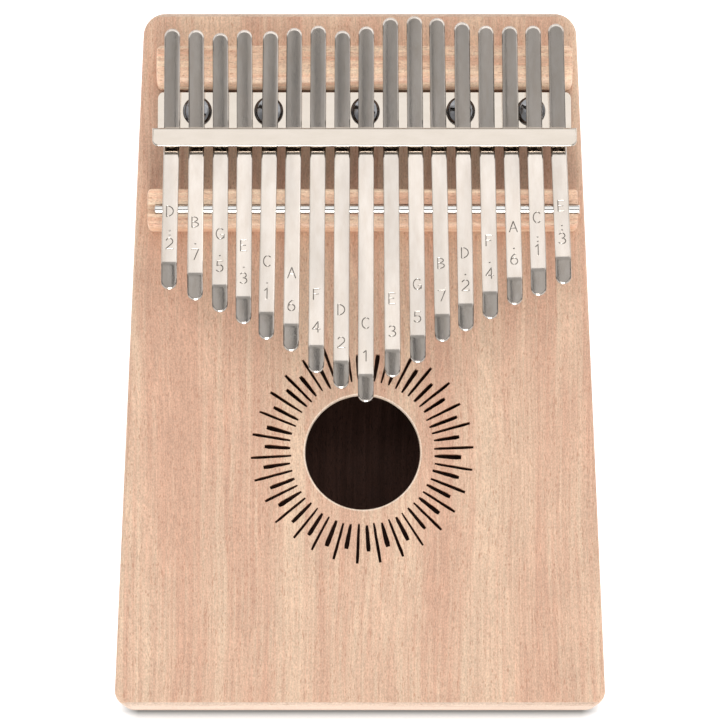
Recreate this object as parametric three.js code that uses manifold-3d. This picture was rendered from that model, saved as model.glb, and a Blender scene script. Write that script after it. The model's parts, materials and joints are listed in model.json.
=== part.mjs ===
// A box kalimba (mbira) with seventeen steel tines on a tapered wooden sound box.
// Millimetres. +X to the player's right, +Y towards the tuning end, +Z up out of the soundboard.
// The origin is the middle of the back face that the box lies on.

import * as THREE from "three";
import { mergeVertices } from "three/addons/utils/BufferGeometryUtils.js";
import Module from "manifold-3d";

const wasm = await Module();
wasm.setup();

// ---- driving dimensions -------------------------------------------------------------------------

// sound box
const BOX_LENGTH = 185;
const HEAD_WIDTH = 115.4;
const TAIL_WIDTH = 129.4;
const BOX_DEPTH = 30;
const HEAD_CORNER_RADIUS = 6;
const TAIL_CORNER_RADIUS = 4;
const PLATE_THICKNESS = 3;
const SIDE_THICKNESS = 6;
const END_THICKNESS = 8;

// soundhole and the rays cut round it
const HOLE_X = 0.7;
const HOLE_Y = -25.5;
const HOLE_RADIUS = 15.2;
const RAY_COUNT = 60;
const RAY_INNER_RADIUS = 19.1;
const LONG_RAY_RADIUS = 29.3;
const SHORT_RAY_RADIUS = 26.4;
const RAY_WIDTH_INSIDE = 0.7;
const RAY_WIDTH_OUTSIDE = 0.9;

// hardware on the soundboard: heights are above the soundboard
const HARDWARE_X = 1.2;
const RUNNING_GAP = 0.3;
const BRACKET_SHEET = 1.8;
const PLATE_LENGTH = 110.1;
const PLATE_BACK_Y = 70.9;
const PLATE_CORNER_RADIUS = 1.8;
const FLANGE_LENGTH = 112.3;
const FLANGE_CORNER_RADIUS = 1.6;
const FLANGE_TOP = 10;
const FLANGE_FRONT_Y = 54.8;
const WEB_BACK_Y = 59.8;
const BEND_RADIUS = 1.2;
const WINDOW_SIDE_GAP = 0.45;

const REAR_BRIDGE = { length: 110.5, front: 71.3, back: 82.3, top: 7.6, round: 4.2 };
const FRONT_BRIDGE = { x: 0.7, length: 113.9, front: 33.4, back: 43.9, top: 7.4, round: 1.6 };
const BRIDGE_CORNER_RADIUS = 1.5;

const ROD_RADIUS = 1.2;
const ROD_LENGTH = 112.4;
const ROD_X = 1.9;
const ROD_Y = 38.35;
const ROD_SEAT_GAP = 0.2;

const SCREW_X = [-44.5, -25.5, 0.2, 25.6, 44.3];
const SCREW_Y = 65.5;
const SCREW_HEAD_RADIUS = 3.9;
const SCREW_HEAD_HEIGHT = 2.5;
const SCREW_SHANK_RADIUS = 1.8;
const SCREW_LENGTH = 13;
const SCREW_POINT_LENGTH = 3;
const RECESS_LENGTH = 4.4;
const RECESS_WIDTH = 0.8;
const RECESS_FLOOR = 1.1;
const SCREW_CLEARANCE = 0.3;
const BLOCK = { length: 100, width: 14, depth: 10 };

// tines: one flat spring-steel strip each, pressed down by the bracket between the two bridges
const TINE_WIDTH = 4.2;
const TINE_THICKNESS = 1;
const TINE_LOW_Z = 4.9;
const TINE_LOW_Y = WEB_BACK_Y - BRACKET_SHEET / 2;
const TUNING_SLOPE = 11;
const PRESSED_SLOPE = 11.5;
const PLAYING_SLOPE = 7.5;
const TIP_SLOPE = -14;
const PRESS_BEND_RADIUS = 8;
const EASE_START_Y = 46;
const EASE_END_Y = 40;
const TIP_BEND_RADIUS = 5;
const TIP_LENGTH = 7.9;
const TINE_MIDDLE_X = 1.64;
const LEFT_PITCH = 6.45;
const RIGHT_PITCH = 6.37;

// A tine's free length goes with the square root of one over its pitch, less what the bent tip weighs.
const FREE_LENGTH_SCALE = 57.1;
const FREE_LENGTH_LESS = 5.25;

// Left to right: semitones above the lowest note, how far the strip is set to one side, its turn in
// degrees, the tuning end's distance from the middle of the box, and what was taken off its free length.
const TINES = [
  { semitones: 26, aside: 0.0, turn: -0.5, tail: 86.3, trim: 0.1 },
  { semitones: 23, aside: 0.1, turn: 0.0, tail: 86.0, trim: -0.4 },
  { semitones: 19, aside: 0.1, turn: 0.1, tail: 85.2, trim: 0.0 },
  { semitones: 16, aside: 0.0, turn: 0.0, tail: 86.0, trim: -0.2 },
  { semitones: 12, aside: 0.2, turn: -0.7, tail: 85.7, trim: 0.0 },
  { semitones: 9, aside: 0.1, turn: -0.5, tail: 86.5, trim: 0.5 },
  { semitones: 5, aside: 0.1, turn: -0.3, tail: 87.1, trim: 0.1 },
  { semitones: 2, aside: 0.1, turn: -0.2, tail: 85.8, trim: 0.4 },
  { semitones: 0, aside: 0.0, turn: -0.1, tail: 86.9, trim: 0.0 },
  { semitones: 4, aside: 0.2, turn: 0.3, tail: 89.2, trim: 0.4 },
  { semitones: 7, aside: 0.3, turn: 0.5, tail: 89.6, trim: 0.0 },
  { semitones: 11, aside: 0.1, turn: 0.9, tail: 89.1, trim: 0.6 },
  { semitones: 14, aside: 0.2, turn: 0.6, tail: 88.0, trim: 0.0 },
  { semitones: 17, aside: 0.2, turn: 0.7, tail: 87.1, trim: 0.1 },
  { semitones: 21, aside: 0.2, turn: 0.9, tail: 87.0, trim: 0.1 },
  { semitones: 24, aside: 0.1, turn: 1.0, tail: 87.1, trim: 0.0 },
  { semitones: 28, aside: 0.0, turn: 1.5, tail: 87.6, trim: 0.0 },
];

// worked out from the dimensions above
const BOARD_TOP = BOX_DEPTH;
const BOARD_BOTTOM = BOX_DEPTH - PLATE_THICKNESS;
const WALL_HEIGHT = BOX_DEPTH - 2 * PLATE_THICKNESS;
const WEB_FRONT_Y = WEB_BACK_Y - BRACKET_SHEET;
const WINDOW_TOP = TINE_LOW_Z + TINE_THICKNESS + RUNNING_GAP;

// ---- materials ----------------------------------------------------------------------------------

function wood(color) {
  return new THREE.MeshStandardMaterial({ color, roughness: 0.6, metalness: 0 });
}

function metal(color, roughness) {
  return new THREE.MeshStandardMaterial({ color, roughness, metalness: 1 });
}

const MAHOGANY = 0xdcb494;
const BRIDGE_WOOD = 0xe8c8a2;
const BLOCK_WOOD = 0xb98f66;
const NICKEL = 0xd8d4cc;
const SATIN_STEEL = 0xe6dfd4;
const BLACKENED_STEEL = 0x2a2a2c;

// ---- geometry helpers ---------------------------------------------------------------------------

// A closed geometry as a manifold-3d solid, for cutting and joining.
function solid(geometry) {
  const bare = geometry.clone();
  bare.deleteAttribute("normal");
  bare.deleteAttribute("uv");
  const merged = mergeVertices(bare, 1e-4);
  return new wasm.Manifold(new wasm.Mesh({
    numProp: 3,
    vertProperties: new Float32Array(merged.attributes.position.array),
    triVerts: new Uint32Array(merged.index.array),
  }));
}

// The solid back as a three.js geometry.
function geometryOf(manifold) {
  const mesh = manifold.getMesh();
  const geometry = new THREE.BufferGeometry();
  geometry.setAttribute("position", new THREE.BufferAttribute(mesh.vertProperties, 3));
  geometry.setIndex(new THREE.BufferAttribute(mesh.triVerts, 1));
  geometry.computeVertexNormals();
  return geometry;
}

// Corner points [x, y, radius], counter-clockwise, turned into a shape whose corners are arcs.
function roundedShape(corners, steps = 6) {
  const points = [];
  corners.forEach(([x, y, radius], i) => {
    const corner = new THREE.Vector2(x, y);
    const [bx, by] = corners.at(i - 1);
    const [ax, ay] = corners[(i + 1) % corners.length];
    const before = new THREE.Vector2(bx, by).sub(corner).normalize();
    const after = new THREE.Vector2(ax, ay).sub(corner).normalize();
    if (!radius) {
      points.push(corner);
      return;
    }
    const half = Math.acos(before.dot(after)) / 2;
    const start = corner.clone().addScaledVector(before, radius / Math.tan(half));
    const inward = before.clone().add(after).normalize();
    const centre = corner.clone().addScaledVector(inward, radius / Math.sin(half));
    const outward = Math.sign(after.cross(before));
    const sweep = outward * (Math.PI - 2 * half);
    for (let step = 0; step <= steps; step += 1) {
      points.push(start.clone().rotateAround(centre, (sweep * step) / steps));
    }
  });
  return new THREE.Shape(points);
}

// A flat outline in X and Y, pulled up from one height to another.
function slab(shape, low, high) {
  const geometry = new THREE.ExtrudeGeometry(shape, {
    depth: high - low,
    bevelEnabled: false,
    curveSegments: 24,
  });
  return geometry.translate(0, 0, low);
}

// A side view drawn in Y and Z, pulled along X from one end to the other.
function rail(shape, left, right) {
  const geometry = new THREE.ExtrudeGeometry(shape, { depth: right - left, bevelEnabled: false });
  geometry.applyMatrix4(new THREE.Matrix4().makeBasis(
    new THREE.Vector3(0, 1, 0),
    new THREE.Vector3(0, 0, 1),
    new THREE.Vector3(1, 0, 0),
  ));
  return geometry.translate(left, 0, 0);
}

function box(low, high) {
  const size = high.map((value, i) => value - low[i]);
  const geometry = new THREE.BoxGeometry(...size);
  return geometry.translate(...low.map((value, i) => value + size[i] / 2));
}

function rectangle(left, right, front, back, radii) {
  return roundedShape([
    [left, front, radii[0]],
    [right, front, radii[1]],
    [right, back, radii[2]],
    [left, back, radii[3]],
  ]);
}

function uprightCylinder(radius, x, y, low, high, sides = 20) {
  const geometry = new THREE.CylinderGeometry(radius, radius, high - low, sides);
  return geometry.rotateX(Math.PI / 2).translate(x, y, (low + high) / 2);
}

function crossCylinder(radius, left, right, y, z, sides = 24) {
  const geometry = new THREE.CylinderGeometry(radius, radius, right - left, sides);
  return geometry.rotateZ(Math.PI / 2).translate((left + right) / 2, y, z);
}

// ---- sound box ----------------------------------------------------------------------------------

function halfWidthAt(y) {
  const share = (y + BOX_LENGTH / 2) / BOX_LENGTH;
  return (TAIL_WIDTH + (HEAD_WIDTH - TAIL_WIDTH) * share) / 2;
}

function boxOutline() {
  const end = BOX_LENGTH / 2;
  return roundedShape([
    [-TAIL_WIDTH / 2, -end, TAIL_CORNER_RADIUS],
    [TAIL_WIDTH / 2, -end, TAIL_CORNER_RADIUS],
    [HEAD_WIDTH / 2, end, HEAD_CORNER_RADIUS],
    [-HEAD_WIDTH / 2, end, HEAD_CORNER_RADIUS],
  ]);
}

// One ray, pointing straight down the board and then turned about the middle of the hole.
function ray(turn, outerRadius) {
  const shape = new THREE.Shape([
    new THREE.Vector2(-RAY_WIDTH_OUTSIDE / 2, -outerRadius),
    new THREE.Vector2(RAY_WIDTH_OUTSIDE / 2, -outerRadius),
    new THREE.Vector2(RAY_WIDTH_INSIDE / 2, -RAY_INNER_RADIUS),
    new THREE.Vector2(-RAY_WIDTH_INSIDE / 2, -RAY_INNER_RADIUS),
  ]);
  const geometry = slab(shape, BOARD_BOTTOM - 1, BOARD_TOP + 1);
  return geometry.rotateZ(turn).translate(HOLE_X, HOLE_Y, 0);
}

function soundboard() {
  let board = solid(slab(boxOutline(), BOARD_BOTTOM, BOARD_TOP));
  const hole = uprightCylinder(HOLE_RADIUS, HOLE_X, HOLE_Y, BOARD_BOTTOM - 1, BOARD_TOP + 1, 48);
  board = board.subtract(solid(hole));
  const step = (2 * Math.PI) / RAY_COUNT;
  for (let i = 0; i < RAY_COUNT; i += 1) {
    const reach = i % 2 ? LONG_RAY_RADIUS : SHORT_RAY_RADIUS;
    board = board.subtract(solid(ray((i + 0.5) * step, reach)));
  }
  for (const x of SCREW_X) {
    board = board.subtract(solid(screwHole(x)));
  }
  return geometryOf(board);
}

function backPlate() {
  return slab(boxOutline(), 0, PLATE_THICKNESS);
}

function wallBlock(left, right, front, back) {
  const block = solid(box([left, front, PLATE_THICKNESS], [right, back, BOARD_BOTTOM]));
  return solid(slab(boxOutline(), PLATE_THICKNESS, BOARD_BOTTOM)).intersect(block);
}

function headEnd() {
  const end = BOX_LENGTH / 2;
  return geometryOf(wallBlock(-HEAD_WIDTH, HEAD_WIDTH, end - END_THICKNESS, end + 1));
}

function tailEnd() {
  const end = BOX_LENGTH / 2;
  return geometryOf(wallBlock(-TAIL_WIDTH, TAIL_WIDTH, -end - 1, -end + END_THICKNESS));
}

// A side wall runs between the two ends, along the taper. side is -1 on the left and 1 on the right.
function sideWall(side) {
  const end = BOX_LENGTH / 2 - END_THICKNESS;
  const tail = halfWidthAt(-end);
  const head = halfWidthAt(end);
  const points = [
    new THREE.Vector2(side * (tail - SIDE_THICKNESS), -end),
    new THREE.Vector2(side * tail, -end),
    new THREE.Vector2(side * head, end),
    new THREE.Vector2(side * (head - SIDE_THICKNESS), end),
  ];
  const shape = new THREE.Shape(side > 0 ? points : points.reverse());
  return slab(shape, PLATE_THICKNESS, PLATE_THICKNESS + WALL_HEIGHT);
}

function screwBlock() {
  const left = HARDWARE_X - BLOCK.length / 2;
  let block = solid(box(
    [left, SCREW_Y - BLOCK.width / 2, BOARD_BOTTOM - BLOCK.depth],
    [left + BLOCK.length, SCREW_Y + BLOCK.width / 2, BOARD_BOTTOM],
  ));
  for (const x of SCREW_X) {
    block = block.subtract(solid(screwHole(x)));
  }
  return geometryOf(block);
}

// ---- bridges and rod ----------------------------------------------------------------------------

// A strip of wood across the soundboard, rounded along its front top edge and at its plan corners.
function bridgeStrip(bridge, middle) {
  const left = middle - bridge.length / 2;
  const right = middle + bridge.length / 2;
  const sideView = roundedShape([
    [bridge.front, BOARD_TOP, 0],
    [bridge.back, BOARD_TOP, 0],
    [bridge.back, BOARD_TOP + bridge.top, 0.6],
    [bridge.front, BOARD_TOP + bridge.top, bridge.round],
  ]);
  const r = BRIDGE_CORNER_RADIUS;
  const plan = rectangle(left, right, bridge.front, bridge.back, [r, r, r, r]);
  const blank = solid(slab(plan, BOARD_TOP, BOARD_TOP + bridge.top + 1));
  return solid(rail(sideView, left, right)).intersect(blank);
}

function rearBridge() {
  return geometryOf(bridgeStrip(REAR_BRIDGE, HARDWARE_X));
}

function frontBridge() {
  const strip = bridgeStrip(FRONT_BRIDGE, FRONT_BRIDGE.x);
  const reach = FRONT_BRIDGE.length;
  const seat = crossCylinder(ROD_RADIUS + ROD_SEAT_GAP, -reach, reach, ROD_Y, rodHeight());
  return geometryOf(strip.subtract(solid(seat)));
}

function bridgeRod() {
  const left = ROD_X - ROD_LENGTH / 2;
  return crossCylinder(ROD_RADIUS, left, left + ROD_LENGTH, ROD_Y, rodHeight());
}

// The rod's axis lies just under the place where the tines cross it.
function rodHeight() {
  return BOARD_TOP + contactHeight() - RUNNING_GAP - ROD_RADIUS;
}

// ---- bracket and its screws ---------------------------------------------------------------------

// Side view of the folded sheet: base plate behind, web, and the flange in front of it.
function bracketPlateAndWeb() {
  const top = BOARD_TOP + FLANGE_TOP;
  const plate = BOARD_TOP + BRACKET_SHEET;
  const sideView = roundedShape([
    [WEB_FRONT_Y, BOARD_TOP, BEND_RADIUS],
    [PLATE_BACK_Y, BOARD_TOP, 0],
    [PLATE_BACK_Y, plate, 0.3],
    [WEB_BACK_Y, plate, BEND_RADIUS],
    [WEB_BACK_Y, top, 0.7],
    [WEB_FRONT_Y, top, 0],
  ], 4);
  const left = HARDWARE_X - PLATE_LENGTH / 2;
  const right = HARDWARE_X + PLATE_LENGTH / 2;
  const r = PLATE_CORNER_RADIUS;
  const plan = rectangle(left, right, WEB_FRONT_Y, PLATE_BACK_Y, [0, 0, r, r]);
  const blank = solid(slab(plan, BOARD_TOP - 1, top + 1));
  return solid(rail(sideView, left, right)).intersect(blank);
}

function bracketFlange() {
  const top = BOARD_TOP + FLANGE_TOP;
  const left = HARDWARE_X - FLANGE_LENGTH / 2;
  const right = HARDWARE_X + FLANGE_LENGTH / 2;
  const sideView = roundedShape([
    [FLANGE_FRONT_Y, top - BRACKET_SHEET, 0.3],
    [WEB_BACK_Y, top - BRACKET_SHEET, 0],
    [WEB_BACK_Y, top, 0.7],
    [FLANGE_FRONT_Y, top, 0.4],
  ], 4);
  const r = FLANGE_CORNER_RADIUS;
  const plan = rectangle(left, right, FLANGE_FRONT_Y, WEB_BACK_Y, [r, r, 0, 0]);
  const blank = solid(slab(plan, BOARD_TOP, top + 1));
  return solid(rail(sideView, left, right)).intersect(blank);
}

// The opening in the web that lets tine number i through.
function bracketWindow(i) {
  const half = TINE_WIDTH / 2 + WINDOW_SIDE_GAP;
  const middle = tineX(i);
  return box(
    [middle - half, WEB_FRONT_Y - 1, BOARD_TOP + BRACKET_SHEET],
    [middle + half, WEB_BACK_Y + BEND_RADIUS + 0.5, BOARD_TOP + WINDOW_TOP],
  );
}

function tineBracket() {
  let bracket = bracketPlateAndWeb().add(bracketFlange());
  for (const i of TINES.keys()) {
    bracket = bracket.subtract(solid(bracketWindow(i)));
  }
  for (const x of SCREW_X) {
    bracket = bracket.subtract(solid(screwHole(x)));
  }
  return geometryOf(bracket);
}

function screwHole(x) {
  const radius = SCREW_SHANK_RADIUS + SCREW_CLEARANCE;
  const low = BOARD_BOTTOM - BLOCK.depth - 1;
  return uprightCylinder(radius, x + HARDWARE_X, SCREW_Y, low, BOARD_TOP + BRACKET_SHEET + 1);
}

// A pan-head screw with a cross recess, standing on the base plate.
function bracketScrew(x) {
  const profile = [
    [0, -SCREW_LENGTH],
    [0.5, -SCREW_LENGTH],
    [SCREW_SHANK_RADIUS, -SCREW_LENGTH + SCREW_POINT_LENGTH],
    [SCREW_SHANK_RADIUS, 0],
    [SCREW_HEAD_RADIUS, 0],
    [SCREW_HEAD_RADIUS, 0.9],
    [SCREW_HEAD_RADIUS - 0.5, 1.7],
    [SCREW_HEAD_RADIUS - 1.6, 2.3],
    [0, SCREW_HEAD_HEIGHT],
  ];
  const lathe = new THREE.LatheGeometry(profile.map(([r, z]) => new THREE.Vector2(r, z)), 24);
  let screw = solid(lathe.rotateX(Math.PI / 2));
  for (const [wide, deep] of [[RECESS_LENGTH, RECESS_WIDTH], [RECESS_WIDTH, RECESS_LENGTH]]) {
    const low = [-wide / 2, -deep / 2, RECESS_FLOOR];
    const high = [wide / 2, deep / 2, SCREW_HEAD_HEIGHT + 1];
    screw = screw.subtract(solid(box(low, high)));
  }
  const geometry = geometryOf(screw);
  return geometry.translate(x + HARDWARE_X, SCREW_Y, BOARD_TOP + BRACKET_SHEET);
}

// ---- tines --------------------------------------------------------------------------------------

// Where a tine crosses the bracket's web.
function tineX(i) {
  const middle = (TINES.length - 1) / 2;
  const pitch = i < middle ? LEFT_PITCH : RIGHT_PITCH;
  return TINE_MIDDLE_X + (i - middle) * pitch + TINES[i].aside;
}

function freeLength(tine) {
  return FREE_LENGTH_SCALE * 2 ** (-tine.semitones / 24) - FREE_LENGTH_LESS - tine.trim;
}

// Walks along a strip from a point: each leg is [run, slope at its end], and a change of slope is an
// arc in a few straight steps. way is 1 towards the tuning end and -1 towards the player.
function walk(start, way, legs) {
  const points = [start];
  let slope = 0;
  for (const [run, endSlope] of legs) {
    const steps = endSlope === slope ? 1 : 5;
    for (let step = 0; step < steps; step += 1) {
      const angle = THREE.MathUtils.degToRad(slope + ((endSlope - slope) * (step + 0.5)) / steps);
      const last = points.at(-1);
      points.push({
        y: last.y + (way * run) / steps,
        z: last.z + (Math.tan(angle) * run) / steps,
      });
    }
    slope = endSlope;
  }
  return points;
}

// The underside of a tine from its tip to its tuning end, with z above the soundboard.
function tineUnderside(tine) {
  const low = { y: TINE_LOW_Y, z: TINE_LOW_Z };
  const degree = Math.PI / 180;
  const rearBend = PRESS_BEND_RADIUS * Math.sin(TUNING_SLOPE * degree);
  const frontBend = PRESS_BEND_RADIUS * Math.sin(PRESSED_SLOPE * degree);
  const tipBend = TIP_BEND_RADIUS * Math.sin((PLAYING_SLOPE - TIP_SLOPE) * degree);
  const tip = ROD_Y - freeLength(tine);
  const bendY = tip + TIP_LENGTH;
  const rear = walk(low, 1, [
    [rearBend, TUNING_SLOPE],
    [tine.tail - TINE_LOW_Y - rearBend, TUNING_SLOPE],
  ]);
  const front = walk(low, -1, [
    [frontBend, PRESSED_SLOPE],
    [TINE_LOW_Y - frontBend - EASE_START_Y, PRESSED_SLOPE],
    [EASE_START_Y - EASE_END_Y, PLAYING_SLOPE],
    [EASE_END_Y - bendY, PLAYING_SLOPE],
    [tipBend, TIP_SLOPE],
    [TIP_LENGTH - tipBend, TIP_SLOPE],
  ]);
  return [...front.reverse(), ...rear.slice(1)];
}

// How high above the soundboard the underside of every tine crosses the rod.
function contactHeight() {
  const path = tineUnderside(TINES[0]);
  const next = path.findIndex((point) => point.y > ROD_Y);
  const a = path[next - 1];
  const b = path[next];
  const share = (ROD_Y - a.y) / (b.y - a.y);
  return a.z + (b.z - a.z) * share;
}

// The underside moved up by the strip's thickness, square to the strip.
function raised(path) {
  return path.map((point, i) => {
    const a = path[Math.max(i - 1, 0)];
    const b = path[Math.min(i + 1, path.length - 1)];
    const length = Math.hypot(b.y - a.y, b.z - a.z);
    return {
      y: point.y - ((b.z - a.z) / length) * TINE_THICKNESS,
      z: point.z + ((b.y - a.y) / length) * TINE_THICKNESS,
    };
  });
}

// One tine along Y, at x = 0.
function tineStrip(tine) {
  const under = tineUnderside(tine);
  const over = raised(under);
  const outline = [...under, ...over.reverse()];
  const sideView = new THREE.Shape(outline.map(({ y, z }) => new THREE.Vector2(y, z + BOARD_TOP)));
  const half = TINE_WIDTH / 2;
  const tip = ROD_Y - freeLength(tine);
  const r = half - 0.01;
  const plan = rectangle(-half, half, tip, tine.tail, [r, r, r, r]);
  const blank = solid(slab(plan, BOARD_TOP, BOARD_TOP + 30));
  return solid(rail(sideView, -half, half)).intersect(blank);
}

// The part of a tine on one side of the rod, turned and moved to its place.
function tinePiece(i, part) {
  const gap = RUNNING_GAP / 2;
  const [front, back] = part === "shank" ? [ROD_Y + gap, BOX_LENGTH] : [-BOX_LENGTH, ROD_Y - gap];
  const cut = box([-TINE_WIDTH, front, BOARD_TOP], [TINE_WIDTH, back, 2 * BOARD_TOP]);
  const geometry = geometryOf(tineStrip(TINES[i]).intersect(solid(cut)));
  geometry.translate(0, -TINE_LOW_Y, 0);
  geometry.rotateZ(THREE.MathUtils.degToRad(TINES[i].turn));
  return geometry.translate(tineX(i), TINE_LOW_Y, 0);
}

// ---- assembly -----------------------------------------------------------------------------------

const mbira = new THREE.Group();

function place(name, geometry, material) {
  const mesh = new THREE.Mesh(geometry, material);
  mesh.name = name;
  mbira.add(mesh);
}

place("soundboard", soundboard(), wood(MAHOGANY));
place("back_plate", backPlate(), wood(MAHOGANY));
place("left_side", sideWall(-1), wood(MAHOGANY));
place("right_side", sideWall(1), wood(MAHOGANY));
place("head_end", headEnd(), wood(MAHOGANY));
place("tail_end", tailEnd(), wood(MAHOGANY));
place("screw_block", screwBlock(), wood(BLOCK_WOOD));
place("rear_bridge", rearBridge(), wood(BRIDGE_WOOD));
place("front_bridge", frontBridge(), wood(BRIDGE_WOOD));
place("bridge_rod", bridgeRod(), metal(NICKEL, 0.2));
place("tine_bracket", tineBracket(), metal(SATIN_STEEL, 0.4));

SCREW_X.forEach((x, i) => {
  place(`bracket_screw_${i + 1}`, bracketScrew(x), metal(BLACKENED_STEEL, 0.35));
});

TINES.forEach((tine, i) => {
  const number = String(i + 1).padStart(2, "0");
  place(`tine_${number}_shank`, tinePiece(i, "shank"), metal(NICKEL, 0.25));
  place(`tine_${number}_tongue`, tinePiece(i, "tongue"), metal(NICKEL, 0.25));
});

export default mbira;
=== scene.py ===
import json
import math
import random

import bpy
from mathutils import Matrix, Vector
from mathutils.geometry import delaunay_2d_cdt


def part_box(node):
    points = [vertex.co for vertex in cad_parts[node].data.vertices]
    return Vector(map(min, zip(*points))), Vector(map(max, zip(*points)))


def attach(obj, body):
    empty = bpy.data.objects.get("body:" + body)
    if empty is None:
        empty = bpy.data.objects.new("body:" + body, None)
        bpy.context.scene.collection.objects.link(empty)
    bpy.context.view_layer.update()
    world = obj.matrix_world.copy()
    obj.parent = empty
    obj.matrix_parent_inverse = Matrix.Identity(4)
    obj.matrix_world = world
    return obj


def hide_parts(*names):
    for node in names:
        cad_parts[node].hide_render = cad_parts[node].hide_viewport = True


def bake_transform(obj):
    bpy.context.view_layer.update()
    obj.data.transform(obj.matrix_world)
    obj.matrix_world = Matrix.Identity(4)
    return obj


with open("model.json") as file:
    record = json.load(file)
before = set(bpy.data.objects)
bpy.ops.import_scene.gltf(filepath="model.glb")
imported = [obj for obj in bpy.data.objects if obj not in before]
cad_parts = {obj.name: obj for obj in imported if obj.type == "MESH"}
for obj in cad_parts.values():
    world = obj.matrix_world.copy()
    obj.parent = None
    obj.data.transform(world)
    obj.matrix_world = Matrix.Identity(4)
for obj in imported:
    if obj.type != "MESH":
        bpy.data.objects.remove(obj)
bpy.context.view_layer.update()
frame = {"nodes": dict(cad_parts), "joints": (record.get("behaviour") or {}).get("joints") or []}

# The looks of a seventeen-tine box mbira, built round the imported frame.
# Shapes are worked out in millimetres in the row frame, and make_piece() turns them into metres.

MM = 0.001
RIGHT_ANGLE = math.pi / 2

# delaunay_2d_cdt: the output type that gives every triangle, and how close points have to be to join
ALL_TRIANGLES = 0
JOIN_DISTANCE = 1e-5


def box_mm(node):
    """The lowest and highest corner of a CAD node at rest, in millimetres."""
    low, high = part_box(node)
    return low / MM, high / MM


# ---- named sizes, in millimetres ----

board_low, board_high = box_mm("soundboard")
back_low, back_high = box_mm("back_plate")
BOARD_TOP = board_high.z
BOX_END = board_high.y
TAIL_WIDTH = 129.4
HEAD_WIDTH = 115.4
TAIL_CORNER = 4
HEAD_CORNER = 6
SIDE_THICKNESS = 6
END_THICKNESS = box_mm("head_end")[1].y - box_mm("head_end")[0].y
OUTER_ROUND = 1.3
SEAM_ROUND = 0.12
END_GRAIN_DEPTH = 0.8

HOLE = Vector((0.7, -25.5))
HOLE_RADIUS = 15.2
HOLE_ROUND = 0.45
RAY_COUNT = 60
RAY_INNER = 19.1
RAY_REACH = (26.4, 29.3)
RAY_WIDTHS = ((0.72, 1.3), (0.6, 0.82))
RAY_ROUND = 0.07

SCREW_NODES = [f"bracket_screw_{number}" for number in range(1, 6)]
SCREW_HOLE_RADIUS = 2.1
SCREW_HOLE_ROUND = 0.05

SHEET = 1.8
FLANGE_BEND_ROUND = 0.75
FLANGE_EDGE_ROUND = 0.32
# the windows that the tines pass through, in the bracket's web
WINDOW_GAP = 0.45
WINDOW_HEIGHT = 6.2
WINDOW_BACK = 1.7
ROD_GAP = 0.12

TINE_COUNT = 17
TINE_WIDTH = 4.2
TINE_THICKNESS = 1.0
TINE_ROUND = 0.26
TINE_EDGE = 0.36
TINE_END_EDGE = 0.55
TINE_END_STEPS = 16
# a broken upper edge from the side up to the face, and the face's flat rim, as (inset, drop) in
# shares of the edge's width
BROKEN_EDGE = [(0, 0.8), (0.05, 0.55), (0.16, 0.36), (0.22, 0.315), (0.92, 0.025), (1, 0), (1.25, 0)]
TINE_CROWN = 0.05
TINE_LEAN = 0.5
TINE_LOW_HEIGHT = 4.9
WEB_BACK = 59.8
WEB_FRONT = WEB_BACK - SHEET
TINE_LOW_Y = WEB_BACK - SHEET / 2
rod_low, rod_high = box_mm("bridge_rod")
ROD_Y = (rod_low.y + rod_high.y) / 2
ROD_RADIUS = (rod_high.z - rod_low.z) / 2
ROD_HEIGHT = rod_low.z + ROD_RADIUS
TUNING_SLOPE = 11
PRESSED_SLOPE = 11.5
PLAYING_SLOPE = 7.5
TIP_SLOPE = -14
PRESS_BEND = 8
TIP_BEND = 5
TIP_LENGTH = 7.9
BEND_STEPS = 10
STRAIGHT_STEP = 2.5
EASE_START_Y = 46
EASE_END_Y = 40
# how far across its face a tine has lines of points, which carry the crown
FACE_LINES = (-1.6, -1.2, -0.6, 0.6, 1.2, 1.6)

# notes, left to right: letter, dots for the octave, numeral of the scale
MARKS = [
    ("D", 2, "2"), ("B", 1, "7"), ("G", 1, "5"), ("E", 1, "3"), ("C", 1, "1"), ("A", 0, "6"),
    ("F", 0, "4"), ("D", 0, "2"), ("C", 0, "1"), ("E", 0, "3"), ("G", 0, "5"), ("B", 0, "7"),
    ("D", 1, "2"), ("F", 1, "4"), ("A", 1, "6"), ("C", 2, "1"), ("E", 2, "3"),
]
NUMERAL_BEHIND_BEND = 3.9
LETTER_BEHIND_BEND = 12.7
DOTS_BEHIND_BEND = 6.8
MARK_HEIGHT = 2.9
MARK_SPREAD = 3.0
MARK_WIDTH = 0.28
MARK_DEPTH = 0.11
MARK_DULL_SHARE = 0.45
DOT_PITCH = 1.2
DOT_RADIUS = 0.22


# ---- flat outlines ----

def rounded_loop(corners, steps=12):
    """Corners (x, y, radius), counter-clockwise, as a loop of points with an arc at each corner."""
    loop = []
    for i, (x, y, radius) in enumerate(corners):
        corner = Vector((x, y))
        before = (Vector(corners[i - 1][:2]) - corner).normalized()
        after = (Vector(corners[(i + 1) % len(corners)][:2]) - corner).normalized()
        if not radius:
            loop.append(corner)
            continue
        half = before.angle(after) / 2
        start = corner + before * (radius / math.tan(half))
        centre = corner + (before + after).normalized() * (radius / math.sin(half))
        way = 1 if after.x * before.y - after.y * before.x > 0 else -1
        sweep = way * (math.pi - 2 * half)
        for step in range(steps + 1):
            loop.append(centre + turned(start - centre, sweep * step / steps))
    return loop


def turned(point, angle):
    """A flat point turned about the origin, in radians."""
    cosine, sine = math.cos(angle), math.sin(angle)
    return Vector((point.x * cosine - point.y * sine, point.x * sine + point.y * cosine))


def circle_loop(centre, radius, count):
    """A circle, counter-clockwise."""
    angles = [2 * math.pi * i / count for i in range(count)]
    return [centre + Vector((math.cos(a), math.sin(a))) * radius for a in angles]


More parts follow.
